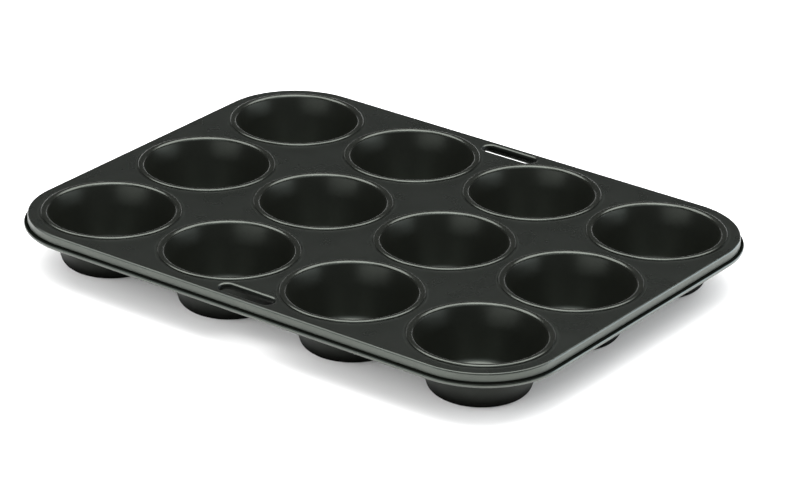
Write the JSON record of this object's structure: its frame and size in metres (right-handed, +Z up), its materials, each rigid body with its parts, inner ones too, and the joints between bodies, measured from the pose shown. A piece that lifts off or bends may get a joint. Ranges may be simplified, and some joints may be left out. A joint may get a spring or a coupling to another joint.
{
  "type": "muffin tin",
  "caption": "Rectangular muffin tin of dark coated steel: a flat top sheet with a wired rolled rim and hanging slots, holding a grid of tapered round cups with raised lips.",
  "frame": {"origin": "on the table, under the centre of the tin", "axes": "+Z up, out of the cups' mouths; +X along the tin's long side; +Y along its short side"},
  "size_m": [0.3452, 0.2622, 0.031],
  "materials": {
    "top_sheet": "satin dark grey non-stick coating",
    "cups": "satin dark grey non-stick coating",
    "rim_wire": "drawn mild steel wire"
  },
  "bodies": {
    "root": {"top_sheet": "top_sheet", "rim_wire": "rim_wire", "cup_front_1": "cups", "cup_front_2": "cups", "cup_front_3": "cups", "cup_front_4": "cups", "cup_middle_1": "cups", "cup_middle_2": "cups", "cup_middle_3": "cups", "cup_middle_4": "cups", "cup_back_1": "cups", "cup_back_2": "cups", "cup_back_3": "cups", "cup_back_4": "cups"}
  },
  "joints": []
}
